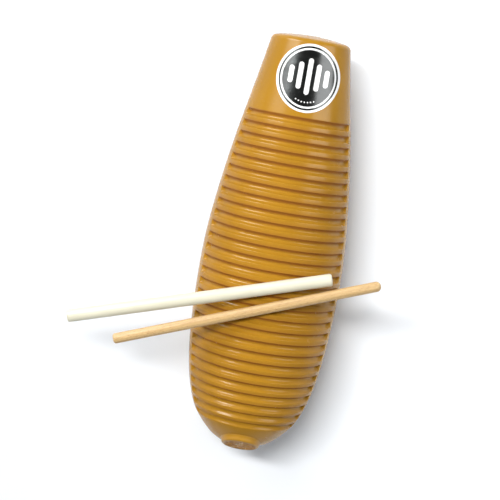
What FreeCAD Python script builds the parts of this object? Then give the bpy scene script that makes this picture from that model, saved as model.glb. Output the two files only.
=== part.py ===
import FreeCAD, Part
import math
import os

import Mesh
import Sketcher

# A blow-moulded plastic guiro with its two scrapers. It lies on its back: +Z is up through
# the ribbed front, +Y runs along the body towards the neck end, and +X is the player's right.
# The origin is on the table, on the rest flat, half way along the body.

os.makedirs("parts", exist_ok=True)
doc = FreeCAD.newDocument("Guiro")
Vec = FreeCAD.Vector

# --- Driving dimensions, in millimetres and degrees ---------------------------------------

SIZES = [
    ("body_length", 372.6),
    ("wall", 4.2),
    ("neck_edge_radius", 5.0),
    ("axis_height", 58.6),
    # ribbed front
    ("groove_first", 72.6),
    ("even_grooves", 20),
    ("groove_pitch", 10.2),
    ("end_grooves", 8),
    ("end_groove_pitch", 9.7),
    ("groove_opening", 6.2),
    ("groove_floor", 3.0),
    ("groove_depth", 2.8),
    ("groove_arc", 143.0),
    # torn moulding stub on the domed end
    ("stub_radius", 17.0),
    ("stub_height", 4.3),
    ("stub_root", 1.0),
    ("stub_tilt", 27.6),
    ("stub_along", 360.9),
    ("stub_forward", 22.0),
    # holes in the back, for the holding hand
    ("thumb_along", 120.0),
    ("thumb_radius", 15.0),
    ("finger_start", 196.0),
    ("finger_length", 76.0),
    ("finger_width", 26.0),
    # round sticker on the neck
    ("label_along", 35.9),
    ("label_aside", 2.1),
    ("label_half_across", 27.2),
    ("label_half_along", 29.3),
    ("label_gap", 0.05),
    ("film_thickness", 0.25),
    ("ink_thickness", 0.12),
    ("label_arc", 130.0),
    ("label_margin", 0.3),
    ("ring_outer_share", 0.93),
    ("ring_inner_share", 0.876),
    ("disc_share", 0.82),
    ("bar_width", 4.2),
    ("bar_pitch", 7.6),
    ("bar_tallest", 31.0),
    ("bar_taper", 0.26),
    # scrapers
    ("rib_clearance", 0.15),
    ("thick_radius", 5.4),
    ("thick_length", 226.0),
    ("thick_angle", 17.97),
    ("thick_centre_across", -56.2),
    ("thick_centre_along", 232.8),
    ("thick_blunt_chamfer", 0.8),
    ("thick_nose_radius", 2.2),
    ("thin_radius", 4.4),
    ("thin_length", 231.0),
    ("thin_angle", 21.44),
    ("thin_centre_across", -14.6),
    ("thin_centre_along", 237.9),
    ("thin_blunt_chamfer", 1.2),
    ("thin_nose_radius", 4.2),
]

# Outer outline of the body: distance from the neck end, and radius there. The neck flares
# into a long cone, swells to the belly and closes in a dome at the other end.
OUTLINE = [
    (7.0, 35.1),
    (45.0, 41.8),
    (90.0, 50.3),
    (135.0, 57.1),
    (180.0, 62.0),
    (225.0, 63.2),
    (270.0, 61.5),
    (310.0, 56.2),
    (330.0, 50.6),
    (343.0, 44.4),
    (353.0, 36.5),
    (361.0, 28.2),
    (370.0, 0.0),
]

# The outline's direction where it starts, and where it is divided into neck, flare, belly
# and dome.
NECK_DIRECTION = Vec(-1, 0.18, 0)
OUTLINE_BREAKS = (66.0, 225.0, 347.0)

# The least share of its volume that a solid must lose for a cut to count.
LEAST_LOSS = 0.0001
# Deep enough to go through one side of the body from the axis.
THROUGH_ONE_SIDE = 100.0

sheet = doc.addObject("Spreadsheet::Sheet", "Sizes")
row = 0
for alias, value in SIZES:
    row += 1
    sheet.set("A%d" % row, alias)
    sheet.set("B%d" % row, str(value))
    sheet.setAlias("B%d" % row, alias)
for index, (along, radius) in enumerate(OUTLINE):
    for name, value in (("outline_along", along), ("outline_radius", radius)):
        row += 1
        alias = "%s_%d" % (name, index + 1)
        sheet.set("A%d" % row, alias)
        sheet.set("B%d" % row, str(value))
        sheet.setAlias("B%d" % row, alias)
doc.recompute()


def size(alias):
    return float(sheet.get(alias))


def station(along):
    """Row Y of a place given as its distance from the neck end."""
    return size("body_length") / 2 - along


# --- Helpers ------------------------------------------------------------------------------


def plane_of(body, role):
    return next(f for f in body.Origin.OriginFeatures if f.Role == role)


def new_body(label):
    body = doc.addObject("PartDesign::Body", label)
    body.Label = label
    return body


def sketch_on(body, name, role):
    sketch = body.newObject("Sketcher::SketchObject", name)
    sketch.AttachmentSupport = (plane_of(body, role), [""])
    sketch.MapMode = "FlatFace"
    return sketch


def bind(target, property_path, alias):
    target.setExpression(property_path, "Sizes." + alias)


def dimension(sketch, name, constraint, alias):
    """Adds a driving constraint to a sketch and binds it to a cell."""
    index = sketch.addConstraint(constraint)
    sketch.renameConstraint(index, name)
    sketch.setExpression("Constraints." + name, "Sizes." + alias)


def loop_of(sketch, corners):
    """A closed polygon."""
    for here, there in zip(corners, corners[1:] + corners[:1]):
        sketch.addGeometry(Part.LineSegment(here, there), False)


def square(half):
    """Corners of a square about the sketch's origin."""
    return [Vec(-half, -half, 0), Vec(half, -half, 0), Vec(half, half, 0), Vec(-half, half, 0)]


def slot_outline(sketch, x, high, low, half_width):
    """A slot along the sketch's second axis, its rounded ends centred at high and low."""
    up = Vec(0, 0, 1)
    top = Part.Circle(Vec(x, high, 0), up, half_width)
    bottom = Part.Circle(Vec(x, low, 0), up, half_width)
    left = x - half_width
    right = x + half_width
    sketch.addGeometry(Part.ArcOfCircle(top, 0, math.pi), False)
    sketch.addGeometry(Part.LineSegment(Vec(left, high, 0), Vec(left, low, 0)), False)
    sketch.addGeometry(Part.ArcOfCircle(bottom, math.pi, 2 * math.pi), False)
    sketch.addGeometry(Part.LineSegment(Vec(right, low, 0), Vec(right, high, 0)), False)


def volume(shape):
    """Volume of the shape's triangle mesh, which is truer than that of its spline faces."""
    return Mesh.Mesh(shape.tessellate(0.05)).Volume


def check_cut(body, before, name):
    """A cut that points away from the solid removes nothing and shows no error."""
    doc.recompute()
    if volume(body.Shape) > before * (1 - LEAST_LOSS):
        raise RuntimeError(name + " cuts nothing")


def pocket_from_axis(body, name, sketch, upwards):
    """A pocket from the plane of the body's axis, through the front or through the back."""
    before = volume(body.Shape)
    pocket = body.newObject("PartDesign::Pocket", name)
    pocket.Profile = sketch
    pocket.Type = 0
    pocket.Length = THROUGH_ONE_SIDE
    pocket.Reversed = upwards
    check_cut(body, before, name)


# --- Outline curves, in a plane whose first axis is row Y and whose second is the radius ---


def outline_curve(inset):
    """The body's outline, moved inwards by inset (or outwards, if it is negative)."""
    points = []
    for index in range(len(OUTLINE)):
        along = size("outline_along_%d" % (index + 1))
        radius = size("outline_radius_%d" % (index + 1))
        points.append(Vec(station(along), radius, 0))
    end = Vec(0, -1, 0)
    curve = Part.BSplineCurve()
    curve.interpolate(Points=points, InitialTangent=NECK_DIRECTION, FinalTangent=end)
    if inset == 0:
        return curve
    moved = []
    for point in points[:-1]:
        tangent = curve.tangent(curve.parameter(point))[0]
        moved.append(point + Vec(-tangent.y, tangent.x, 0) * inset)
    moved.append(points[-1] + Vec(inset, 0, 0))
    inner = Part.BSplineCurve()
    inner.interpolate(Points=moved, InitialTangent=NECK_DIRECTION, FinalTangent=end)
    return inner


outer_curve = outline_curve(0)

# --- Body shell -----------------------------------------------------------------------------


def half_section(sketch, inset):
    """Half section of a solid of revolution: low domed end, rounded edge, outline and axis."""
    curve = outline_curve(inset)
    edge = size("neck_edge_radius") - inset
    shoulder = curve.StartPoint
    normal = Vec(NECK_DIRECTION.y, -NECK_DIRECTION.x, 0).normalize()
    corner = shoulder - normal * edge
    apex = station(0) - inset
    drop = apex - corner.x
    dome = (drop**2 + corner.y**2 - edge**2) / (2 * (drop - edge))
    middle = Vec(apex - dome, 0, 0)
    reach = math.atan2(corner.y, corner.x - middle.x)
    lean = math.atan2(normal.y, normal.x)
    up = Vec(0, 0, 1)
    sketch.addGeometry(Part.ArcOfCircle(Part.Circle(middle, up, dome), 0, reach), False)
    sketch.addGeometry(Part.ArcOfCircle(Part.Circle(corner, up, edge), reach, lean), False)
    for piece in split_outline(curve):
        sketch.addGeometry(piece, False)
    sketch.addGeometry(Part.LineSegment(curve.EndPoint, Vec(apex, 0, 0)), False)


def split_outline(curve):
    """The curve in four stretches: neck, flare, belly and dome."""
    breaks = [curve.FirstParameter]
    for along in OUTLINE_BREAKS:
        breaks.append(curve.parameter(nearest_on(curve, station(along))))
    breaks.append(curve.LastParameter)
    pieces = []
    for first, last in zip(breaks, breaks[1:]):
        piece = curve.copy()
        piece.segment(first, last)
        pieces.append(piece)
    return pieces


def nearest_on(curve, y):
    """The point of an outline curve at a given row Y."""
    low = curve.FirstParameter
    high = curve.LastParameter
    for _ in range(50):
        middle = (low + high) / 2
        if curve.value(middle).x > y:
            low = middle
        else:
            high = middle
    return curve.value(low)


def revolve(body, name, section):
    solid = body.newObject("PartDesign::Revolution", name)
    solid.Profile = section
    solid.ReferenceAxis = (section, ["H_Axis"])
    solid.Angle = 360
    doc.recompute()
    return solid


def cut_flat(body, name, expression):
    """Removes everything below a level, measured down from the axis."""
    before = volume(body.Shape)
    outline = sketch_on(body, name + "Outline", "XY_Plane")
    half = size("body_length")
    loop_of(outline, square(half))
    outline.setExpression("AttachmentOffset.Base.z", expression)
    pocket = body.newObject("PartDesign::Pocket", name)
    pocket.Profile = outline
    pocket.Type = 0
    pocket.Length = THROUGH_ONE_SIDE
    check_cut(body, before, name)


def groove_sections(sketch):
    """Trapezoid sections of the grooves along the outline, closer together at the domed end."""
    above = 1.5
    half_open = size("groove_opening") / 2
    half_floor = size("groove_floor") / 2
    depth = size("groove_depth")
    half_above = half_open + (half_open - half_floor) * above / depth
    first = outer_curve.parameter(nearest_on(outer_curve, station(size("groove_first"))))
    steps = [0] + [size("groove_pitch")] * (int(size("even_grooves")) - 1)
    steps += [size("end_groove_pitch")] * int(size("end_grooves"))
    distance = 0
    for step in steps:
        distance += step
        where = outer_curve.parameterAtDistance(distance, first)
        point = outer_curve.value(where)
        along = outer_curve.tangent(where)[0]
        out = Vec(along.y, -along.x, 0)
        corners = [
            point + out * above - along * half_above,
            point + out * above + along * half_above,
            point - out * depth + along * half_floor,
            point - out * depth - along * half_floor,
        ]
        loop_of(sketch, corners)


def make_cavity():
    """The hollow inside, which has its own flat above the rest flat."""
    body = new_body("cavity")
    section = sketch_on(body, "CavitySection", "YZ_Plane")
    half_section(section, size("wall"))
    doc.recompute()
    revolve(body, "Cavity", section)
    cut_flat(body, "CavityFlat", "Sizes.wall - Sizes.axis_height")
    return body


def make_body_shell():
    body = new_body("body_shell")
    section = sketch_on(body, "OutsideSection", "YZ_Plane")
    half_section(section, 0)
    doc.recompute()
    revolve(body, "Outside", section)

    # The stub leans towards the front, so its torn end faces partly up.
    tilt = FreeCAD.Rotation(Vec(1, 0, 0), 90 - size("stub_tilt"))
    direction = tilt.multVec(Vec(0, 0, 1))
    centre = Vec(0, station(size("stub_along")), size("stub_forward"))
    stub = body.newObject("PartDesign::AdditiveCylinder", "Stub")
    stub.AttachmentSupport = (plane_of(body, "XY_Plane"), [""])
    stub.MapMode = "FlatFace"
    base = centre - direction * size("stub_root")
    stub.AttachmentOffset = FreeCAD.Placement(base, tilt)
    bind(stub, "Radius", "stub_radius")
    stub.setExpression("Height", "Sizes.stub_height + Sizes.stub_root")
    doc.recompute()

    before = volume(body.Shape)
    ribs = sketch_on(body, "GrooveSections", "YZ_Plane")
    groove_sections(ribs)
    grooves = body.newObject("PartDesign::Groove", "Grooves")
    grooves.Profile = ribs
    grooves.ReferenceAxis = (ribs, ["H_Axis"])
    grooves.Midplane = True
    bind(grooves, "Angle", "groove_arc")
    check_cut(body, before, "Grooves")
    cut_flat(body, "RestFlat", "-Sizes.axis_height")

    before = volume(body.Shape)
    hollow = body.newObject("PartDesign::Boolean", "Hollow")
    hollow.Type = "Cut"
    hollow.setObjects([make_cavity()])
    check_cut(body, before, "Hollow")

    thumb = sketch_on(body, "ThumbHoleOutline", "XY_Plane")
    centre = Vec(0, station(size("thumb_along")), 0)
    circle = thumb.addGeometry(Part.Circle(centre, Vec(0, 0, 1), size("thumb_radius")), False)
    dimension(thumb, "radius", Sketcher.Constraint("Radius", circle, size("thumb_radius")),
              "thumb_radius")
    pocket_from_axis(body, "ThumbHole", thumb, False)

    slot = sketch_on(body, "FingerSlotOutline", "XY_Plane")
    half_width = size("finger_width") / 2
    near = station(size("finger_start")) - half_width
    far = station(size("finger_start") + size("finger_length")) + half_width
    slot_outline(slot, 0, near, far, half_width)
    pocket_from_axis(body, "FingerSlot", slot, False)

    bind(body, "Placement.Base.z", "axis_height")
    return body


# --- Label ----------------------------------------------------------------------------------


def ellipse(share):
    """An ellipse of the label's own shape, its size given as a share of the label's."""
    centre = Vec(size("label_aside"), station(size("label_along")), 0)
    half_along = size("label_half_along") * share
    half_across = size("label_half_across") * share
    return Part.Ellipse(centre + Vec(0, half_along, 0), centre + Vec(half_across, 0, 0), centre)


def label_layer(name, bottom, thickness, share):
    """A layer that follows the neck, from bottom above it, trimmed to an ellipse."""
    body = new_body(name)
    section = sketch_on(body, name + "Section", "YZ_Plane")
    low = outline_curve(-bottom)
    high = outline_curve(-(bottom + thickness))
    reach = size("label_half_along") + size("label_margin")
    ends = [station(size("label_along") - reach), station(size("label_along") + reach)]
    trimmed = []
    for curve in (low, high):
        piece = curve.copy()
        places = [curve.parameter(nearest_on(curve, end)) for end in ends]
        piece.segment(places[0], places[1])
        trimmed.append(piece)
        section.addGeometry(piece, False)
    section.addGeometry(Part.LineSegment(trimmed[0].StartPoint, trimmed[1].StartPoint), False)
    section.addGeometry(Part.LineSegment(trimmed[0].EndPoint, trimmed[1].EndPoint), False)
    doc.recompute()
    band = body.newObject("PartDesign::Revolution", name + "Band")
    band.Profile = section
    band.ReferenceAxis = (section, ["H_Axis"])
    band.Midplane = True
    bind(band, "Angle", "label_arc")
    doc.recompute()
    trim = sketch_on(body, name + "Trim", "XY_Plane")
    wide = size("body_length")
    loop_of(trim, square(wide))
    trim.addGeometry(ellipse(share), False)
    pocket_from_axis(body, name + "Outline", trim, True)
    bind(body, "Placement.Base.z", "axis_height")
    return body


def make_label():
    film = label_layer("label_film", size("label_gap"), size("film_thickness"), 1)
    ink_bottom = size("label_gap") + size("film_thickness")
    ring = label_layer("label_ring", ink_bottom, size("ink_thickness"), size("ring_outer_share"))
    hollow = sketch_on(ring, "RingHollow", "XY_Plane")
    hollow.addGeometry(ellipse(size("ring_inner_share")), False)
    pocket_from_axis(ring, "RingInside", hollow, True)

    disc = label_layer("label_disc", ink_bottom, size("ink_thickness"), size("disc_share"))
    emblem = sketch_on(disc, "EmblemBars", "XY_Plane")
    half = size("bar_width") / 2
    middle = Vec(size("label_aside"), station(size("label_along")), 0)
    for place in range(-2, 3):
        x = middle.x + place * size("bar_pitch")
        reach = size("bar_tallest") / 2 * (1 - size("bar_taper") * abs(place)) - half
        slot_outline(emblem, x, middle.y + reach, middle.y - reach, half)
    pocket_from_axis(disc, "Emblem", emblem, True)
    return [film, ring, disc]


# --- Scrapers -------------------------------------------------------------------------------


def edge_at_end(shape, side):
    """Name of the round edge at a rod's -X end (side -1) or +X end (side 1)."""
    best = max(range(len(shape.Edges)), key=lambda i: side * shape.Edges[i].BoundBox.Center.x)
    return "Edge%d" % (best + 1)


def make_scraper(kind):
    """A round rod with a chamfered blunt end and a rounded nose, resting on the ribs."""
    body = new_body(kind + "_scraper")
    section = sketch_on(body, kind + "Section", "YZ_Plane")
    radius = size(kind + "_radius")
    circle = section.addGeometry(Part.Circle(Vec(0, 0, 0), Vec(0, 0, 1), radius), False)
    section.addConstraint(Sketcher.Constraint("Coincident", circle, 3, -1, 1))
    dimension(section, "radius", Sketcher.Constraint("Radius", circle, radius), kind + "_radius")
    rod = body.newObject("PartDesign::Pad", kind + "Rod")
    rod.Profile = section
    rod.Midplane = True
    bind(rod, "Length", kind + "_length")
    doc.recompute()
    blunt = body.newObject("PartDesign::Chamfer", kind + "BluntEnd")
    blunt.Base = (rod, [edge_at_end(rod.Shape, -1)])
    bind(blunt, "Size", kind + "_blunt_chamfer")
    doc.recompute()
    nose = body.newObject("PartDesign::Fillet", kind + "Nose")
    nose.Base = (blunt, [edge_at_end(blunt.Shape, 1)])
    bind(nose, "Radius", kind + "_nose_radius")
    doc.recompute()
    along = station(size(kind + "_centre_along"))
    turn = FreeCAD.Rotation(Vec(0, 0, 1), size(kind + "_angle"))
    body.Placement = FreeCAD.Placement(Vec(size(kind + "_centre_across"), along, 0), turn)
    body.setExpression(
        "Placement.Base.z",
        "Sizes.axis_height + Sizes.outline_radius_6 + Sizes.%s_radius + Sizes.rib_clearance" % kind,
    )
    bind(body, "Placement.Base.x", kind + "_centre_across")
    return body


# --- Build, check and write -----------------------------------------------------------------

pieces = [make_body_shell()] + make_label() + [make_scraper("thick"), make_scraper("thin")]
doc.recompute()
for item in doc.Objects:
    if "Invalid" in item.State or "Error" in item.State:
        raise RuntimeError("%s failed: %s" % (item.Name, item.State))
for piece in pieces:
    shape = piece.Shape
    if shape.isNull() or not shape.isValid() or len(shape.Solids) != 1:
        raise RuntimeError("%s is not one sound solid" % piece.Label)
for piece in pieces:
    piece.Shape.exportStep("parts/%s.step" % piece.Label)
    box = piece.Shape.BoundBox
    print("%-14s %9.1f mm3  %s" % (piece.Label, volume(piece.Shape), box))
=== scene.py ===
import math

import bmesh
import bpy
import numpy as np
from mathutils import Matrix, Vector, noise
from mathutils.bvhtree import BVHTree


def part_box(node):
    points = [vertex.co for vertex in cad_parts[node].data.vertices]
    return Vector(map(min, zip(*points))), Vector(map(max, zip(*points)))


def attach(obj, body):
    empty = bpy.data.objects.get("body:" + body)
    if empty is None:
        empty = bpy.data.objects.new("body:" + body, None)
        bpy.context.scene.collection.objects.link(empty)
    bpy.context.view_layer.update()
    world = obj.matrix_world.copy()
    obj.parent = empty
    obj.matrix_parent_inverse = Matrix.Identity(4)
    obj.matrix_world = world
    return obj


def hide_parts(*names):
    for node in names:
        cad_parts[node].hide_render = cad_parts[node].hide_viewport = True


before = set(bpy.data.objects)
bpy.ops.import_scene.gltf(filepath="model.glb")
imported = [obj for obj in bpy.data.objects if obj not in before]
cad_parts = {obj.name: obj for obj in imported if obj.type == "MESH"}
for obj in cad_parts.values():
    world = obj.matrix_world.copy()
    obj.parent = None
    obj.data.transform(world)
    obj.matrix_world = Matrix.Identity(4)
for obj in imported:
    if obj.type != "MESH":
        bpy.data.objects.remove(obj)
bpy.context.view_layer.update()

MM = 0.001

# --- Where things are, from the frame -------------------------------------------------------------

BODY_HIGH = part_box("body_shell")[1]
FILM_LOW, FILM_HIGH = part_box("label_film")
NECK_END = BODY_HIGH[1] / MM
AXIS_Z = 58.6
WALL = 4.2

# The body's outline: distance from the neck end, and radius, in millimetres.
OUTLINE = [
    (7.0, 35.1),
    (45.0, 41.8),
    (90.0, 50.3),
    (135.0, 57.1),
    (180.0, 62.0),
    (225.0, 63.2),
    (270.0, 61.5),
    (310.0, 56.2),
    (330.0, 50.6),
    (343.0, 44.4),
    (353.0, 36.5),
    (361.0, 28.2),
    (370.0, 0.0),
]
NECK_SLOPE = 0.18
EDGE_RADIUS = 5.0

GROOVE_FIRST = 72.6
GROOVE_STEPS = [0.0] + [10.2] * 19 + [9.7] * 8
GROOVE_DEPTH = 2.8
GROOVE_HALF = 3.15
GROOVE_ROUNDING = 0.2
GROOVE_END_DEG = 71.5

STUB_ALONG = 360.9
STUB_FORWARD = 22.0
STUB_TILT = 27.6
STUB_RADIUS = 17.0
STUB_HEIGHT = 4.3
STUB_FOOT = 1.4
STUB_EDGE_WIDTH = 2.4
STUB_EDGE_HEIGHT = 1.9

THUMB_ALONG = 120.0
THUMB_RADIUS = 15.0
FINGER_START = 196.0
FINGER_END = 272.0
FINGER_HALF_WIDTH = 13.0
HOLE_EDGE = 1.3

# Small features of the shell's surface, in millimetres.
FLAT_ROUNDING = 0.5
GROOVE_END_LENGTH = 1.6
# Where and how wide the painted shade lies along each groove's neck-side wall.
PAINTED_SHADE_PLACE = -2.3
PAINTED_SHADE_WIDTH = 1.35
PARTING_HEIGHT = 0.13
PARTING_WIDTH_DEG = 0.55
SWELL_HEIGHT = 0.10
SWELL_SINK = 0.06
INSIDE_FOLLOWS = 2.2


# --- Small helpers --------------------------------------------------------------------------------


def smooth_step(x):
    x = min(1.0, max(0.0, x))
    return x * x * (3 - 2 * x)


def soft_max(value, floor, softness):
    """The larger of the two, with a rounded corner where they meet."""
    over = value - floor
    return floor + 0.5 * (over + math.sqrt(over * over + softness * softness))


def make_object(name, verts, faces):
    """A mesh object from points in millimetres."""
    mesh = bpy.data.meshes.new(name)
    mesh.from_pydata([tuple(c * MM for c in v) for v in verts], [], faces)
    mesh.validate()
    mesh.polygons.foreach_set("use_smooth", [True] * len(mesh.polygons))
    mesh.update()
    obj = bpy.data.objects.new(name, mesh)
    bpy.context.scene.collection.objects.link(obj)
    return obj


def bake_modifiers(obj):
    """Replaces the object's mesh with what its modifiers make of it."""
    depsgraph = bpy.context.evaluated_depsgraph_get()
    mesh = bpy.data.meshes.new_from_object(obj.evaluated_get(depsgraph), depsgraph=depsgraph)
    obj.modifiers.clear()
    old = obj.data
    obj.data = mesh
    bpy.data.meshes.remove(old)


def sharpen(obj, degrees):
    """Smooth shading, except over edges that turn more than the angle given."""
    bm = bmesh.new()
    bm.from_mesh(obj.data)
    limit = math.radians(degrees)
    for face in bm.faces:
        face.smooth = True
    for edge in bm.edges:
        edge.smooth = len(edge.link_faces) == 2 and edge.calc_face_angle(0) < limit
    bm.to_mesh(obj.data)
    bm.free()


def face_outwards(obj):
    bm = bmesh.new()
    bm.from_mesh(obj.data)
    bmesh.ops.recalc_face_normals(bm, faces=bm.faces)
    bm.to_mesh(obj.data)
    bm.free()


def grid_faces(rows, columns, first=0, flip=False):
    """Quads of a grid of points stored row by row, where each row is a closed ring."""
    faces = []
    for i in range(rows - 1):
        for j in range(columns):
            a = first + i * columns + j
            b = first + i * columns + (j + 1) % columns
            quad = (a, b, b + columns, a + columns)
            faces.append(quad[::-1] if flip else quad)
    return faces


def fan_faces(start, columns, pole, flip=False):
    """Triangles from one ring of a grid to a single point."""
    faces = []
    for j in range(columns):
        tri = (start + j, start + (j + 1) % columns, pole)
        faces.append(tri[::-1] if flip else tri)
    return faces


# --- The outline as a smooth curve ----------------------------------------------------------------


class Outline:
    """A clamped cubic curve through the outline's points, measured along its own length."""

    def __init__(self, points, start, end, samples=4000):
        p = np.array(points, float)
        step = np.linalg.norm(np.diff(p, axis=0), axis=1)
        t = np.concatenate([[0], np.cumsum(step)])
        count = len(p)
        a = np.zeros((count, count))
        b = np.zeros((count, 2))
        a[0, 0] = a[-1, -1] = 1
        b[0] = np.array(start) / np.linalg.norm(start)
        b[-1] = np.array(end) / np.linalg.norm(end)
        for i in range(1, count - 1):
            h0 = step[i - 1]
            h1 = step[i]
            a[i, i - 1] = h1
            a[i, i] = 2 * (h0 + h1)
            a[i, i + 1] = h0
            b[i] = 3 * (h1 * (p[i] - p[i - 1]) / h0 + h0 * (p[i + 1] - p[i]) / h1)
        m = np.linalg.solve(a, b)
        at = np.linspace(0, t[-1], samples)
        k = np.clip(np.searchsorted(t, at, side="right") - 1, 0, count - 2)
        h = step[k][:, None]
        u = ((at - t[k]) / step[k])[:, None]
        curve = (
            (2 * u**3 - 3 * u**2 + 1) * p[k]
            + (u**3 - 2 * u**2 + u) * h * m[k]
            + (3 * u**2 - 2 * u**3) * p[k + 1]
            + (u**3 - u**2) * h * m[k + 1]
        )
        self.points = curve
        self.distance = np.concatenate([[0], np.cumsum(np.linalg.norm(np.diff(curve, axis=0), axis=1))])
        self.length = float(self.distance[-1])
        self.slope = np.gradient(curve, self.distance, axis=0)

    def at(self, distance):
        """Place along the axis, radius, and the outward normal's two parts."""
        along = float(np.interp(distance, self.distance, self.points[:, 0]))
        radius = float(np.interp(distance, self.distance, self.points[:, 1]))
        d_along = float(np.interp(distance, self.distance, self.slope[:, 0]))
        d_radius = float(np.interp(distance, self.distance, self.slope[:, 1]))
        size = math.hypot(d_along, d_radius)
        return along, radius, -d_radius / size, d_along / size

    def distance_at(self, along):
        return float(np.interp(along, self.points[:, 0], self.distance))

    def radius_at(self, along):
        return float(np.interp(along, self.points[:, 0], self.points[:, 1]))


outline = Outline(OUTLINE, (1.0, NECK_SLOPE), (0.0, -1.0))
groove_places = outline.distance_at(GROOVE_FIRST) + np.cumsum(GROOVE_STEPS)


def on_body(along, radius, angle):
    """A point in row millimetres: distance from the neck end, radius, and angle from the front."""
    return (radius * math.sin(angle), NECK_END - along, AXIS_Z + radius * math.cos(angle))


def back_height(x, y):
    """Height of the shell's outside on the back, which is the rest flat where that cuts it."""
    radius = outline.radius_at(NECK_END - y)
    z = AXIS_Z - math.sqrt(max(1.0, radius * radius - x * x))
    return soft_max(z, 0.0, FLAT_ROUNDING)


def front_height(x, y, lift):
    """Height of the neck's front, lifted along its normal."""
    _, radius, _, n_radius = outline.at(outline.distance_at(NECK_END - y))
    lifted = radius + lift / n_radius
    return AXIS_Z + math.sqrt(lifted * lifted - x * x)


# --- Body shell -----------------------------------------------------------------------------------


def groove_offset(distance):
    """Distance past the middle of the nearest groove."""
    offsets = distance - groove_places
    return float(offsets[np.argmin(np.abs(offsets))])


def groove_share(distance):
    """0 on a land, 1 at the bottom of a groove, whose section is a bowl with rounded shoulders."""
    bowl = 1 - (groove_offset(distance) / GROOVE_HALF) ** 2
    if bowl < -GROOVE_ROUNDING:
        return 0.0
    if bowl < GROOVE_ROUNDING:
        return (bowl + GROOVE_ROUNDING) ** 2 / (4 * GROOVE_ROUNDING)
    return bowl


def painted_shade_share(distance):
    """1 along the neck side of a groove, where painted shade darkens its upper wall."""
    return math.exp(-(((groove_offset(distance) - PAINTED_SHADE_PLACE) / PAINTED_SHADE_WIDTH) ** 4))


def end_share(angle, radius):
    """1 over the ribbed front, falling to 0 across a groove's end wall."""
    past = (abs(angle) - math.radians(GROOVE_END_DEG)) * radius
    return smooth_step(0.5 - past / GROOVE_END_LENGTH)


def shell_rows():
    """Distances along the outline: close together across each groove, wider elsewhere."""
    neck_end_to_first = groove_places[0] - 4.2
    half = [-3.6, -3.35, -3.15, -2.95, -2.7, -2.3, -1.7, -0.9]
    across = half + [0.0] + [-value for value in reversed(half)]
    rows = list(np.linspace(0.0, neck_end_to_first, 30))
    for place in groove_places:
        rows += [place + value for value in across]
    tail = rows[-1]
    crowding = 1.15
    shares = np.linspace(0, 1, 26)[1:-1]
    rows += list(tail + (outline.length - tail) * (1 - (1 - shares) ** crowding))
    return rows


def shell_angles():
    """Angles round the body, close together at the grooves' ends and at the parting lines."""
    end = GROOVE_END_DEG
    front = np.arange(1.25, end - 3, 2.4)
    groove_ends = np.linspace(end - 2.2, end + 2.2, 10)
    side = np.linspace(end + 5, 87, 4)
    parting = [88.2, 89.0, 89.5, 90.0, 90.5, 91.0, 91.8]
    back = np.linspace(95, 176.5, 22)
    half = [*front, *groove_ends, *side, *parting, *back]
    angles = [-value for value in reversed(half)] + half
    return [math.radians(value) for value in angles]


def parting_line(angle, along):
    """Height of the faint ridge where the mould's two halves met."""
    off = abs(abs(math.degrees(angle)) - 90)
    wobble = 0.7 + 0.5 * noise.noise(Vector((along * 0.06, angle, 3.0)))
    return PARTING_HEIGHT * wobble * math.exp(-((off / PARTING_WIDTH_DEG) ** 2))


def outside_point(distance, angle):
    along, radius, n_along, n_radius = outline.at(distance)
    depth = GROOVE_DEPTH * groove_share(distance) * end_share(angle, radius)
    place = Vector((along * 0.02, math.sin(angle) * 1.3, math.cos(angle) * 1.3))
    swell = SWELL_HEIGHT * noise.noise(place)
    lift = parting_line(angle, along) + swell - SWELL_SINK - depth
    x, y, z = on_body(along + lift * n_along, radius + lift * n_radius, angle)
    return (x, y, soft_max(z, 0.0, FLAT_ROUNDING))


def inside_point(distance, angle):
    along, radius, n_along, n_radius = outline.at(distance)
    bump = INSIDE_FOLLOWS * groove_share(distance) * end_share(angle, radius)
    inset = min(WALL + bump, radius)
    x, y, z = on_body(along - inset * n_along, max(0.0, radius - inset * n_radius), angle)
    return (x, y, soft_max(z, WALL, FLAT_ROUNDING))


def neck_end_profile():
    """Places and radii from the middle of the neck's low dome, round its edge, to the outline."""
    shoulder = np.array(OUTLINE[0])
    normal = np.array([-NECK_SLOPE, 1.0]) / math.hypot(NECK_SLOPE, 1.0)
    corner = shoulder - normal * EDGE_RADIUS
    dome = (corner[0] ** 2 + corner[1] ** 2 - EDGE_RADIUS**2) / (2 * (corner[0] - EDGE_RADIUS))
    reach = math.atan2(corner[1], dome - corner[0])
    lean = math.atan2(normal[1], -normal[0])
    profile = []
    for turn in reach * np.array([0.12, 0.3, 0.5, 0.7, 0.87, 1.0]):
        profile.append((dome - dome * math.cos(turn), dome * math.sin(turn)))
    for turn in np.linspace(reach, lean, 10)[1:-1]:
        along = corner[0] - EDGE_RADIUS * math.cos(turn)
        profile.append((along, corner[1] + EDGE_RADIUS * math.sin(turn)))
    return profile


def ring_at(along, radius, angles):
    return [on_body(along, radius, angle) for angle in angles]


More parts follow.
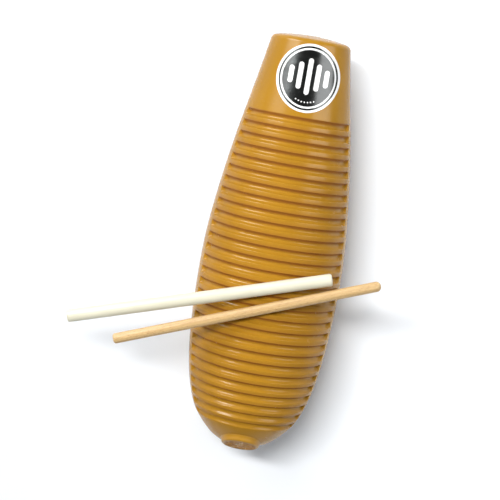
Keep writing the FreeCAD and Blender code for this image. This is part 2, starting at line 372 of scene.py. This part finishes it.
def make_shell():
    """The hollow body: an outside and an inside surface, with the hand holes not yet cut."""
    angles = shell_angles()
    columns = len(angles)
    verts = []

    for along, radius in neck_end_profile():
        verts += ring_at(along, radius, angles)
    # Painted shade along each groove's neck-side wall, one value per point.
    groove_shade_paint = [0.0] * len(verts)
    for distance in shell_rows():
        share = painted_shade_share(distance)
        radius = outline.at(distance)[1]
        for angle in angles:
            verts.append(outside_point(distance, angle))
            groove_shade_paint.append(share * end_share(angle, radius))
    rows = len(verts) // columns
    faces = grid_faces(rows, columns, flip=True)
    verts.append(on_body(0.0, 0.0, 0.0))
    faces += fan_faces(0, columns, len(verts) - 1)
    verts.append(on_body(OUTLINE[-1][0], 0.0, 0.0))
    faces += fan_faces((rows - 1) * columns, columns, len(verts) - 1, flip=True)

    first = len(verts)
    inner_angles = [math.radians(value) for value in np.arange(-177, 180, 6)]
    inner_columns = len(inner_angles)
    inner_rows = list(np.linspace(1.0, groove_places[0] - 4, 16))
    for place in groove_places:
        inner_rows += [place + value for value in (-3.1, -2.0, 0.0, 2.0, 3.1, 5.1)]
    tail = inner_rows[-1]
    inner_rows += list(np.linspace(tail, outline.length - 2.5, 12)[1:])
    for share in (0.35, 0.7, 0.97):
        verts += ring_at(WALL + 1.6, (OUTLINE[0][1] - EDGE_RADIUS) * share, inner_angles)
    for distance in inner_rows:
        verts += [inside_point(distance, angle) for angle in inner_angles]
    rows = (len(verts) - first) // inner_columns
    faces += grid_faces(rows, inner_columns, first=first)
    verts.append(on_body(WALL + 1.2, 0.0, 0.0))
    faces += fan_faces(first, inner_columns, len(verts) - 1, flip=True)
    verts.append(on_body(OUTLINE[-1][0] - WALL, 0.0, 0.0))
    faces += fan_faces(first + (rows - 1) * inner_columns, inner_columns, len(verts) - 1)
    groove_shade_paint += [0.0] * (len(verts) - len(groove_shade_paint))

    shell = make_object("shell", verts, faces)
    layer = shell.data.attributes.new("groove_shade_paint", "FLOAT", "POINT")
    layer.data.foreach_set("value", groove_shade_paint)
    return shell


def hole_cutter(name, middle_y, half_width, half_straight):
    """A plug whose edge rounds outwards where it leaves the back."""
    around = 72
    turns = [math.radians(turn) for turn in (14, 30, 48, 68, 90)]
    lead_run = 1.6
    outside = -4.0
    in_wall = 3.0
    past_wall = 11.0
    flare = []
    for angle in turns:
        flare.append((HOLE_EDGE * (1 - math.sin(angle)), HOLE_EDGE * (1 - math.cos(angle))))
    lead = (flare[0][0] + lead_run, flare[0][1] - lead_run * math.tan(turns[0]))
    rings = [(lead[0], outside), lead] + flare + [(0.0, in_wall), (0.0, past_wall)]
    verts = []
    for spread, depth in rings:
        for step in range(around):
            angle = 2 * math.pi * step / around
            reach = half_width + spread
            x = reach * math.sin(angle)
            side = 1 if math.cos(angle) >= 0 else -1
            y = middle_y + reach * math.cos(angle) + side * half_straight
            verts.append((x, y, back_height(x, y) + depth))
    faces = grid_faces(len(rings), around, flip=True)
    faces.append(tuple(range(around)))
    last = (len(rings) - 1) * around
    faces.append(tuple(range(last + around - 1, last - 1, -1)))
    cutter = make_object(name, verts, faces)
    face_outwards(cutter)
    return cutter


def cut_holes(shell):
    thumb = hole_cutter("thumb_cutter", NECK_END - THUMB_ALONG, THUMB_RADIUS, 0.0)
    half = (FINGER_END - FINGER_START) / 2 - FINGER_HALF_WIDTH
    middle = NECK_END - (FINGER_START + FINGER_END) / 2
    fingers = hole_cutter("finger_cutter", middle, FINGER_HALF_WIDTH, half)
    for cutter in (thumb, fingers):
        cut = shell.modifiers.new("cut", "BOOLEAN")
        cut.operation = "DIFFERENCE"
        cut.solver = "EXACT"
        cut.object = cutter
    bake_modifiers(shell)
    for cutter in (thumb, fingers):
        bpy.data.objects.remove(cutter)
    sharpen(shell, 40)


# --- Moulding stub --------------------------------------------------------------------------------


def make_stub(shell):
    """The torn stub that stands on the dome, leaning towards the front."""
    tilt = math.radians(STUB_TILT)
    out = Vector((0, -math.cos(tilt), math.sin(tilt)))
    side = Vector((1, 0, 0))
    up = out.cross(side)
    centre = Vector((0, NECK_END - STUB_ALONG, AXIS_Z + STUB_FORWARD))
    tree = BVHTree.FromObject(shell, bpy.context.evaluated_depsgraph_get())
    around = 120
    face_rows = 18
    verts = []

    def ring_point(radius, angle, height):
        return centre + side * radius * math.cos(angle) + up * radius * math.sin(angle) + out * height

    def on_dome(radius, angle):
        start = ring_point(radius, angle, 60) * MM
        hit = tree.ray_cast(start, -out)[0]
        return (hit / MM - ring_point(radius, angle, 0)).dot(out)

    def edge_wave(angle):
        return 0.35 * noise.noise(Vector((math.cos(angle) * 2.2, math.sin(angle) * 2.2, 7.0)))

    angles = [2 * math.pi * step / around for step in range(around)]
    reach = STUB_RADIUS + STUB_FOOT
    feet = [on_dome(reach, angle) for angle in angles]
    for inset, drop in ((2.0, 1.5), (0.0, 0.05)):
        for angle, foot in zip(angles, feet):
            verts.append(ring_point(reach - inset, angle, foot - drop))
    top = STUB_HEIGHT - STUB_EDGE_HEIGHT
    for share in (0.12, 0.3, 0.55, 0.8):
        radius = STUB_RADIUS + STUB_FOOT * (1 - share) ** 2.4 - 0.25 * share
        for angle, foot in zip(angles, feet):
            verts.append(ring_point(radius, angle, foot + (top - foot) * share))
    for turn in (8, 30, 52, 72, 88):
        a = math.radians(turn)
        for angle in angles:
            radius = STUB_RADIUS - 0.3 - STUB_EDGE_WIDTH * (1 - math.cos(a)) + edge_wave(angle) * 0.5
            verts.append(ring_point(radius, angle, top + STUB_EDGE_HEIGHT * math.sin(a)))
    for row in range(face_rows):
        share = 1 - (row + 0.35) / face_rows
        for angle in angles:
            radius = (STUB_RADIUS - 2.9) * share
            x = radius * math.cos(angle)
            y = radius * math.sin(angle)
            rough = noise.fractal(Vector((x * 0.30, y * 0.42, 1.5)), 0.9, 2.1, 5)
            pit = 0.5 * smooth_step((1 - share) * 6)
            verts.append(ring_point(radius, angle, STUB_HEIGHT - 0.35 - pit + 0.55 * rough))
    rows = len(verts) // around
    faces = grid_faces(rows, around)
    verts.append(ring_point(0, 0, STUB_HEIGHT - 0.8))
    faces += fan_faces((rows - 1) * around, around, len(verts) - 1)
    faces.append(tuple(range(around - 1, -1, -1)))
    stub = make_object("moulding_stub", verts, faces)
    torn = [0.0] * len(verts)
    for index in range((rows - face_rows) * around, len(verts)):
        torn[index] = 1.0
    layer = stub.data.attributes.new("torn", "FLOAT", "POINT")
    layer.data.foreach_set("value", torn)
    return stub


def make_pinch_seam():
    """The trimmed pinch line across the closed neck end."""
    profile = neck_end_profile()
    places = [radius for along, radius in profile]
    depths = [along for along, radius in profile]
    half = OUTLINE[0][1] - 3.5
    rows = 90
    side = [(-1.1, -0.4), (-0.8, 0.10), (-0.35, 0.28)]
    section = side + [(0.0, 0.33)] + [(-z, lift) for z, lift in reversed(side)]
    verts = []
    for i in range(rows):
        x = -half + 2 * half * i / (rows - 1)
        fade = smooth_step((half - abs(x)) / 3.0)
        rough = 0.75 + 0.6 * noise.noise(Vector((x * 0.45, 0.0, 11.0)))
        depth = float(np.interp(abs(x), places, depths))
        for z, lift in section:
            height = lift * fade * rough if lift > 0 else lift
            verts.append((x, NECK_END - depth + height - 0.02, AXIS_Z + z * (0.8 + 0.3 * rough)))
    count = len(section)
    faces = grid_faces(rows, count)
    faces.append(tuple(range(count)))
    faces.append(tuple(range((rows - 1) * count + count - 1, (rows - 1) * count - 1, -1)))
    seam = make_object("pinch_seam", verts, faces)
    face_outwards(seam)
    return seam


# --- Label ----------------------------------------------------------------------------------------

LABEL_X = (FILM_LOW[0] + FILM_HIGH[0]) / 2 / MM
LABEL_Y = (FILM_LOW[1] + FILM_HIGH[1]) / 2 / MM
LABEL_HALF_X = (FILM_HIGH[0] - FILM_LOW[0]) / 2 / MM
LABEL_HALF_Y = (FILM_HIGH[1] - FILM_LOW[1]) / 2 / MM

# Shares of the film's size, and lifts and thicknesses in millimetres.
RING_OUTER = 0.93
RING_INNER = 0.876
DISC_SHARE = 0.82
FILM_LIFT = 0.03
FILM_THICKNESS = 0.20
PRINT_LIFT = 0.23
PRINT_THICKNESS = 0.05

BAR_PITCH = 7.6
BAR_HALF_WIDTH = 2.1
BAR_HALF_HEIGHT = 15.5
BAR_RAISE = 1.5
DOT_STEP_DEG = 8
DOT_CIRCLE = 0.70
DOT_RADIUS = 0.65


def label_ellipse(share, count=160):
    points = []
    for step in range(count):
        angle = 2 * math.pi * step / count
        x = LABEL_X + LABEL_HALF_X * share * math.cos(angle)
        points.append((x, LABEL_Y + LABEL_HALF_Y * share * math.sin(angle)))
    return points


def bar_outline(x, y, half_width, half_height, count=12):
    """An upright bar with round ends."""
    points = []
    for side in (1, -1):
        for step in range(count + 1):
            angle = math.pi * step / count + (0 if side == 1 else math.pi)
            reach = half_height - half_width
            points.append((x + half_width * math.cos(angle), y + side * reach + half_width * math.sin(angle)))
    return points


def dot_outline(x, y, radius, count=14):
    turns = [2 * math.pi * step / count for step in range(count)]
    return [(x + radius * math.cos(turn), y + radius * math.sin(turn)) for turn in turns]


def wrapped_layer(name, loops, lift, thickness):
    """A flat shape with holes, cut fine and wrapped round the neck as a thin layer."""
    curve = bpy.data.curves.new(name, "CURVE")
    curve.dimensions = "2D"
    curve.fill_mode = "BOTH"
    for loop in loops:
        spline = curve.splines.new("POLY")
        spline.points.add(len(loop) - 1)
        for point, (x, y) in zip(spline.points, loop):
            point.co = (x, y, 0, 1)
        spline.use_cyclic_u = True
    flat = bpy.data.objects.new(name + "_flat", curve)
    bpy.context.scene.collection.objects.link(flat)
    depsgraph = bpy.context.evaluated_depsgraph_get()
    bm = bmesh.new()
    bm.from_mesh(bpy.data.meshes.new_from_object(flat.evaluated_get(depsgraph), depsgraph=depsgraph))
    bpy.data.objects.remove(flat)
    bmesh.ops.remove_doubles(bm, verts=bm.verts, dist=0.001)
    cuts = (
        ((1, 0, 0), LABEL_X, LABEL_HALF_X, 1.3),
        ((0, 1, 0), LABEL_Y, LABEL_HALF_Y, 3.0),
    )
    for normal, middle, half, pitch in cuts:
        place = middle - half + pitch / 2
        while place < middle + half:
            where = tuple(place * part for part in normal)
            geometry = bm.verts[:] + bm.edges[:] + bm.faces[:]
            bmesh.ops.bisect_plane(bm, geom=geometry, plane_co=where, plane_no=normal)
            place += pitch
    for vert in bm.verts:
        x, y = vert.co.x, vert.co.y
        vert.co = Vector((x, y, front_height(x, y, lift))) * MM
    bmesh.ops.recalc_face_normals(bm, faces=bm.faces)
    mesh = bpy.data.meshes.new(name)
    bm.to_mesh(mesh)
    bm.free()
    if sum(p.normal.z * p.area for p in mesh.polygons) < 0:
        mesh.flip_normals()
    mesh.polygons.foreach_set("use_smooth", [True] * len(mesh.polygons))
    layer = bpy.data.objects.new(name, mesh)
    bpy.context.scene.collection.objects.link(layer)
    solid = layer.modifiers.new("thickness", "SOLIDIFY")
    solid.thickness = thickness * MM
    solid.offset = 1
    bake_modifiers(layer)
    sharpen(layer, 50)
    return layer


def make_label():
    """White film with a thin dark ring and a dark disc, its emblem left unprinted."""
    film = wrapped_layer("sticker_film", [label_ellipse(1.0)], FILM_LIFT, FILM_THICKNESS)
    loops = [label_ellipse(RING_OUTER), label_ellipse(RING_INNER)]
    ring = wrapped_layer("sticker_ring", loops, PRINT_LIFT, PRINT_THICKNESS)
    loops = [label_ellipse(DISC_SHARE)]
    for place in range(-2, 3):
        half_height = BAR_HALF_HEIGHT * (1 - 0.26 * abs(place))
        x = LABEL_X + place * BAR_PITCH
        loops.append(bar_outline(x, LABEL_Y + BAR_RAISE, BAR_HALF_WIDTH, half_height))
    for place in range(-3, 4):
        angle = math.radians(-90 + place * DOT_STEP_DEG)
        x = LABEL_X + LABEL_HALF_X * DOT_CIRCLE * math.cos(angle)
        y = LABEL_Y + LABEL_HALF_Y * DOT_CIRCLE * math.sin(angle)
        loops.append(dot_outline(x, y, DOT_RADIUS))
    disc = wrapped_layer("sticker_disc", loops, PRINT_LIFT, PRINT_THICKNESS)
    return film, ring, disc


# --- Scrapers -------------------------------------------------------------------------------------

THICK_RADIUS = 5.4
THICK_LENGTH = 226.0
THICK_ANGLE = 17.97
THIN_RADIUS = 4.4
THIN_LENGTH = 231.0
THIN_ANGLE = 21.44


def make_rod(name, node, radius, length, angle, ends, wobble):
    """A round rod. ends gives (place from the end, share of the radius) for its blunt and round ends."""
    low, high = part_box(node)
    middle = [(a + b) / 2 / MM for a, b in zip(low, high)]
    stations = []
    blunt, nose = ends
    for inset, share in blunt:
        stations.append((-length / 2 + inset, radius * share))
    inner = np.linspace(-length / 2 + blunt[-1][0] + 2, length / 2 - nose[0][0] - 2, 76)
    stations += [(float(x), radius) for x in inner]
    for inset, share in nose:
        stations.append((length / 2 - inset, radius * share))
    around = 48
    verts = []
    local = []
    turn = Matrix.Rotation(math.radians(angle), 3, "Z")
    for x, r in stations:
        for step in range(around):
            a = 2 * math.pi * step / around
            uneven = 1 + wobble * noise.noise(Vector((x * 0.03, math.cos(a) * 0.8, math.sin(a) * 0.8)))
            reach = min(r * uneven, radius)
            point = Vector((x, reach * math.cos(a), reach * math.sin(a)))
            local.append(tuple(point))
            verts.append(tuple(turn @ point + Vector(middle)))
    faces = grid_faces(len(stations), around)
    for x, start, flip in ((-length / 2, 0, True), (length / 2, (len(stations) - 1) * around, False)):
        point = Vector((x, 0, 0))
        local.append(tuple(point))
        verts.append(tuple(turn @ point + Vector(middle)))
        faces += fan_faces(start, around, len(verts) - 1, flip=flip)
    rod = make_object(name, verts, faces)
    layer = rod.data.attributes.new("local", "FLOAT_VECTOR", "POINT")
    layer.data.foreach_set("vector", [c for point in local for c in point])
    sharpen(rod, 38)
    return rod


def round_end(radius, corner):
    """Stations of a rounded end, from the rod towards its tip."""
    stations = []
    for turn in np.linspace(0, 90, 9):
        a = math.radians(turn)
        stations.append((corner * (1 - math.sin(a)), (radius - corner + corner * math.cos(a)) / radius))
    return stations


def make_scrapers():
    blunt = [(0.0, 0.4), (0.0, 0.84), (0.15, 0.89), (0.8, 0.99), (1.1, 1.0)]
    ends = (blunt, round_end(THICK_RADIUS, 2.2))
    thick = make_rod("thick_rod", "thick_scraper", THICK_RADIUS, THICK_LENGTH, THICK_ANGLE, ends, 0.006)
    blunt = [(0.0, 0.35), (0.0, 0.70), (0.12, 0.76), (1.2, 0.985), (1.7, 1.0)]
    ends = (blunt, round_end(THIN_RADIUS, 4.2))
    thin = make_rod("thin_rod", "thin_scraper", THIN_RADIUS, THIN_LENGTH, THIN_ANGLE, ends, 0.012)
    return thick, thin


# --- Materials ------------------------------------------------------------------------------------


class Nodes:
    """A material's node tree, with short calls for the nodes used here."""

    def __init__(self, name):
        self.material = bpy.data.materials.new(name)
        self.material.use_nodes = True
        self.tree = self.material.node_tree
        self.shader = self.tree.nodes["Principled BSDF"]

    def put(self, socket, value):
        if isinstance(value, bpy.types.NodeSocket):
            self.tree.links.new(value, socket)
        else:
            socket.default_value = value

    def attribute(self, name):
        node = self.tree.nodes.new("ShaderNodeAttribute")
        node.attribute_name = name
        return node

    def object_place(self):
        return self.tree.nodes.new("ShaderNodeTexCoord").outputs["Object"]

    def stretch(self, vector, scale):
        node = self.tree.nodes.new("ShaderNodeMapping")
        self.put(node.inputs["Vector"], vector)
        node.inputs["Scale"].default_value = scale
        return node.outputs["Vector"]

    def noise(self, vector, scale, detail, rough, warp=0.0):
        node = self.tree.nodes.new("ShaderNodeTexNoise")
        self.put(node.inputs["Vector"], vector)
        settings = (("Scale", scale), ("Detail", detail), ("Roughness", rough), ("Distortion", warp))
        for key, number in settings:
            node.inputs[key].default_value = number
        return node.outputs["Fac"]

    def ramp(self, value, stops):
        node = self.tree.nodes.new("ShaderNodeValToRGB")
        self.put(node.inputs["Fac"], value)
        ramp = node.color_ramp
        while len(ramp.elements) < len(stops):
            ramp.elements.new(0.5)
        for element, (place, colour) in zip(ramp.elements, stops):
            element.position = place
            element.color = (*colour, 1)
        return node.outputs["Color"]

    def remap(self, value, low, high, to_low, to_high):
        node = self.tree.nodes.new("ShaderNodeMapRange")
        self.put(node.inputs["Value"], value)
        limits = (("From Min", low), ("From Max", high), ("To Min", to_low), ("To Max", to_high))
        for key, number in limits:
            node.inputs[key].default_value = number
        return node.outputs["Result"]

    def axis(self, vector, name):
        node = self.tree.nodes.new("ShaderNodeSeparateXYZ")
        self.put(node.inputs["Vector"], vector)
        return node.outputs[name]

    def mix(self, share, first, second):
        """A blend from the first colour, a socket, to the second, a socket or a plain colour."""
        node = self.tree.nodes.new("ShaderNodeMix")
        node.data_type = "RGBA"
        self.put(node.inputs[0], share)
        self.put(node.inputs[6], first)
        self.put(node.inputs[7], second if isinstance(second, bpy.types.NodeSocket) else (*second, 1))
        return node.outputs[2]

    def math(self, operation, first, second):
        node = self.tree.nodes.new("ShaderNodeMath")
        node.operation = operation
        self.put(node.inputs[0], first)
        self.put(node.inputs[1], second)
        return node.outputs[0]

    def bump(self, height, distance, strength, base=None):
        node = self.tree.nodes.new("ShaderNodeBump")
        self.put(node.inputs["Height"], height)
        node.inputs["Distance"].default_value = distance
        node.inputs["Strength"].default_value = strength
        if base is not None:
            self.put(node.inputs["Normal"], base)
        return node.outputs["Normal"]

    def finish(self, **inputs):
        for key, value in inputs.items():
            self.put(self.shader.inputs[key.replace("_", " ")], value)
        return self.material


def shell_material():
    """Mustard moulded polyethylene: mottled, with orange peel and fine scuffs, and painted shade along the
    grooves' neck-side walls.
    """
    n = Nodes("mustard_plastic")
    place = n.object_place()
    mottle = n.noise(place, 28.0, 3.0, 0.55)
    fine = n.noise(place, 420.0, 2.0, 0.6)
    colour = n.ramp(mottle, [(0.30, (0.368, 0.181, 0.013)), (0.70, (0.410, 0.203, 0.016))])
    colour = n.mix(n.remap(fine, 0.35, 0.75, 0.0, 0.16), colour, (0.32, 0.14, 0.008))
    # Painted shade: the neck-side wall of each groove is darkened and reddened.
    groove_shade_paint = n.attribute("groove_shade_paint").outputs["Fac"]
    colour = n.mix(n.remap(groove_shade_paint, 0.0, 1.0, 0.0, 0.7), colour, (0.30, 0.10, 0.026))
    scuffs = n.noise(n.stretch(place, (150.0, 260.0, 150.0)), 1.0, 4.0, 0.7)
    rough = n.remap(scuffs, 0.35, 0.75, 0.22, 0.29)
    peel = n.noise(place, 900.0, 2.0, 0.5)
    waves = n.noise(place, 120.0, 1.0, 0.5)
    normal = n.bump(waves, 0.00012, 0.5)
    normal = n.bump(peel, 0.00003, 0.7, base=normal)
    normal = n.bump(scuffs, 0.00001, 0.3, base=normal)
    return n.finish(Base_Color=colour, Roughness=rough, Normal=normal, IOR=1.25)


def stub_material():
    """The same plastic, rough where it was torn off; the torn face is darker in places, with whitened crumbs,
    and lifted by painted light against its shade.
    """
    n = Nodes("torn_plastic")
    place = n.object_place()
    torn = n.attribute("torn").outputs["Fac"]
    mottle = n.noise(place, 60.0, 3.0, 0.55)
    clean = n.ramp(mottle, [(0.30, (0.375, 0.183, 0.010)), (0.70, (0.420, 0.207, 0.014))])
    crumbs = n.noise(place, 330.0, 5.0, 0.75, 0.6)
    # Painted light: the torn face, which sits in shade, is coloured brighter orange; the pale stops are real
    # whitened crumbs.
    crumbs_and_painted_light_stops = [
        (0.44, (0.36, 0.14, 0.008)),
        (0.60, (0.56, 0.26, 0.015)),
        (0.67, (0.98, 0.88, 0.66)),
    ]
    crumbs_and_painted_light = n.ramp(crumbs, crumbs_and_painted_light_stops)
    colour = n.mix(torn, clean, crumbs_and_painted_light)
    rough = n.remap(torn, 0.0, 1.0, 0.36, 0.55)
    normal = n.bump(n.math("MULTIPLY", crumbs, torn), 0.0009, 0.9)
    normal = n.bump(n.noise(place, 900.0, 2.0, 0.5), 0.00003, 0.7, base=normal)
    return n.finish(Base_Color=colour, Roughness=rough, Normal=normal, IOR=1.52)


def film_material():
    n = Nodes("white_vinyl")
    place = n.object_place()
    stain = n.noise(place, 70.0, 3.0, 0.6)
    colour = n.ramp(stain, [(0.3, (0.86, 0.86, 0.855)), (0.7, (0.91, 0.91, 0.905))])
    scratch = n.noise(n.stretch(place, (500.0, 60.0, 60.0)), 1.0, 3.0, 0.65)
    rough = n.remap(scratch, 0.3, 0.75, 0.16, 0.30)
    return n.finish(
        Base_Color=colour, Roughness=rough, Normal=n.bump(stain, 0.00006, 0.4), IOR=1.5, Coat_Weight=0.3
    )


def ink_material():
    n = Nodes("black_print")
    place = n.object_place()
    grain = n.noise(place, 800.0, 3.0, 0.6)
    colour = n.ramp(grain, [(0.35, (0.0015, 0.0015, 0.001)), (0.75, (0.004, 0.004, 0.003))])
    scratch = n.noise(n.stretch(place, (60.0, 500.0, 60.0)), 1.0, 3.0, 0.65)
    rough = n.remap(scratch, 0.3, 0.75, 0.18, 0.27)
    normal = n.bump(n.noise(place, 150.0, 2.0, 0.5), 0.00005, 0.4)
    return n.finish(Base_Color=colour, Roughness=rough, Normal=normal, IOR=1.5)


def white_rod_material():
    """Ivory extruded plastic with drawn lines along it and a little grime."""
    n = Nodes("ivory_plastic")
    place = n.attribute("local").outputs["Vector"]
    drawn = n.noise(n.stretch(place, (0.006, 1.6, 1.6)), 1.0, 4.0, 0.65)
    cloud = n.noise(n.stretch(place, (0.03, 0.1, 0.1)), 1.0, 3.0, 0.6)
    colour = n.ramp(cloud, [(0.3, (0.665, 0.63, 0.49)), (0.7, (0.715, 0.68, 0.535))])
    specks = n.noise(n.stretch(place, (0.5, 0.9, 0.9)), 1.0, 5.0, 0.8)
    colour = n.mix(n.remap(specks, 0.64, 0.74, 0.0, 0.35), colour, (0.60, 0.52, 0.38))
    rough = n.remap(drawn, 0.3, 0.7, 0.32, 0.48)
    normal = n.bump(drawn, 0.00005, 0.7)
    return n.finish(Base_Color=colour, Roughness=rough, Normal=normal, IOR=1.49)


def wood_material():
    """Pale sanded hardwood: long fibres, short dark pores and broad growth bands."""
    n = Nodes("pale_wood")
    place = n.attribute("local").outputs["Vector"]
    bands = n.noise(n.stretch(place, (0.006, 0.55, 0.55)), 1.0, 2.0, 0.5, 0.4)
    fibres = n.noise(n.stretch(place, (0.05, 3.2, 3.2)), 1.0, 4.0, 0.7)
    pores = n.noise(n.stretch(place, (0.30, 2.6, 2.6)), 1.0, 2.0, 0.6)
    growth = [
        (0.34, (0.50, 0.305, 0.125)),
        (0.50, (0.62, 0.42, 0.185)),
        (0.66, (0.70, 0.505, 0.255)),
    ]
    colour = n.ramp(bands, growth)
    colour = n.mix(n.remap(fibres, 0.42, 0.66, 0.0, 0.55), colour, (0.46, 0.26, 0.09))
    colour = n.mix(n.remap(pores, 0.56, 0.68, 0.0, 0.75), colour, (0.34, 0.15, 0.05))
    rough = n.remap(fibres, 0.3, 0.7, 0.45, 0.62)
    height = n.math("SUBTRACT", fibres, n.remap(pores, 0.60, 0.72, 0.0, 0.7))
    return n.finish(Base_Color=colour, Roughness=rough, Normal=n.bump(height, 0.00012, 0.8), IOR=1.5)


# --- Studio ---------------------------------------------------------------------------------------


def make_floor():
    bm = bmesh.new()
    bmesh.ops.create_grid(bm, x_segments=40, y_segments=40, size=4.0)
    mesh = bpy.data.meshes.new("floor")
    bm.to_mesh(mesh)
    bm.free()
    floor = bpy.data.objects.new("floor", mesh)
    bpy.context.scene.collection.objects.link(floor)
    n = Nodes("pale_floor")
    place = n.object_place()
    tone = n.noise(place, 3.0, 2.0, 0.5)
    colour = n.ramp(tone, [(0.3, (0.875, 0.905, 0.945)), (0.7, (0.885, 0.915, 0.955))])
    # Painted shade: the floor is darker towards the left, where the lamps light it more strongly.
    left = n.remap(n.axis(place, "X"), -0.22, 0.10, 1.0, 0.0)
    colour = n.mix(left, colour, (0.745, 0.77, 0.81))
    mesh.materials.append(n.finish(Base_Color=colour, Roughness=0.9, Specular_IOR_Level=0.0))


def area_light(name, place, aim, width, length, power, colour):
    data = bpy.data.lights.new(name, "AREA")
    data.shape = "RECTANGLE"
    data.size = width
    data.size_y = length
    data.energy = power
    data.color = colour
    lamp = bpy.data.objects.new(name, data)
    bpy.context.scene.collection.objects.link(lamp)
    back = (Vector(place) - Vector(aim)).normalized()
    across = Vector((0, 1, 0)).cross(back).normalized()
    along = back.cross(across)
    turn = Matrix((across, along, back)).transposed()
    lamp.matrix_world = Matrix.Translation(Vector(place)) @ turn.to_4x4()
    return lamp


def make_lights():
    """Lights for the colours and shadows, for the sheen, and two softboxes for both."""
    body_aim = (0.0, 0.0, 0.06)
    sheen_aim = (0.0, 0.1, 0.08)
    left = (-1.35, 1.15, 1.01)
    right = (0.87, 0.50, 0.75)
    neutral = (1.0, 0.99, 0.97)
    key = area_light("key", (-0.78, 0.88, 2.86), body_aim, 1.45, 0.30, 84.0, neutral)
    top = area_light("top", (-0.60, 2.30, 2.20), body_aim, 1.40, 1.20, 24.0, neutral)
    fill = area_light("fill", (0.10, -1.00, 0.80), body_aim, 0.80, 0.50, 1.3, neutral)
    for lamp in (key, top, fill):
        lamp.visible_glossy = False
    left_sheen = area_light("left_sheen", left, sheen_aim, 1.25, 0.60, 86.0, (0.94, 1.0, 1.0))
    right_sheen = area_light("right_sheen", right, sheen_aim, 0.80, 0.50, 11.0, (0.97, 1.0, 1.0))
    for lamp in (left_sheen, right_sheen):
        lamp.visible_diffuse = False
    area_light("left_softbox", left, sheen_aim, 0.85, 0.90, 16.0, (1.0, 0.985, 0.96))
    area_light("right_softbox", right, sheen_aim, 0.70, 0.60, 3.4, (0.97, 0.985, 1.0))
    world = bpy.data.worlds.new("studio")
    world.use_nodes = True
    background = world.node_tree.nodes["Background"]
    background.inputs["Color"].default_value = (0.84, 0.92, 1.0, 1)
    background.inputs["Strength"].default_value = 0.22
    bpy.context.scene.world = world


def make_camera():
    """A long lens above the neck half of the body, leaning a little and rolled by ten degrees."""
    lens = 106.416
    height = 1300.0
    along = 24.55
    swing = math.radians(-1.25)
    yaw, pitch, roll = (math.radians(value) for value in (0.92, -7.44, 10.17))
    turn = (
        Matrix.Rotation(swing, 3, "Y")
        @ Matrix.Rotation(pitch, 3, "X")
        @ Matrix.Rotation(yaw, 3, "Y")
        @ Matrix.Rotation(roll, 3, "Z")
    )
    place = Matrix.Rotation(swing, 3, "Y") @ Vector((0, 0, height))
    data = bpy.data.cameras.new("camera")
    data.sensor_width = 36.0
    data.lens = lens
    data.clip_end = 20
    camera = bpy.data.objects.new("camera", data)
    bpy.context.scene.collection.objects.link(camera)
    eye = (place + Vector((0, NECK_END - along, AXIS_Z))) * MM
    camera.matrix_world = Matrix.Translation(eye) @ turn.to_4x4()
    bpy.context.scene.camera = camera


# --- Put it together ------------------------------------------------------------------------------


def place_piece(obj, material, body, slot, *nodes):
    obj.data.materials.clear()
    obj.data.materials.append(material)
    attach(obj, body)
    if nodes:
        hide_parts(*nodes)


bpy.context.scene.view_settings.view_transform = "Standard"
make_camera()
make_lights()
make_floor()

plastic = shell_material()
shell = make_shell()
cut_holes(shell)
place_piece(shell, plastic, "guiro_body", "shell_plastic", "body_shell")
place_piece(make_stub(shell), stub_material(), "guiro_body", "shell_plastic")
place_piece(make_pinch_seam(), plastic, "guiro_body", "shell_plastic")

film, ring, disc = make_label()
ink = ink_material()
place_piece(film, film_material(), "guiro_body", "label_white", "label_film")
place_piece(ring, ink, "guiro_body", "label_black", "label_ring")
place_piece(disc, ink, "guiro_body", "label_black", "label_disc")

thick, thin = make_scrapers()
place_piece(thick, white_rod_material(), "thick_stick", "scraper_plastic", "thick_scraper")
place_piece(thin, wood_material(), "thin_stick", "scraper_wood", "thin_scraper")

bpy.context.view_layer.update()
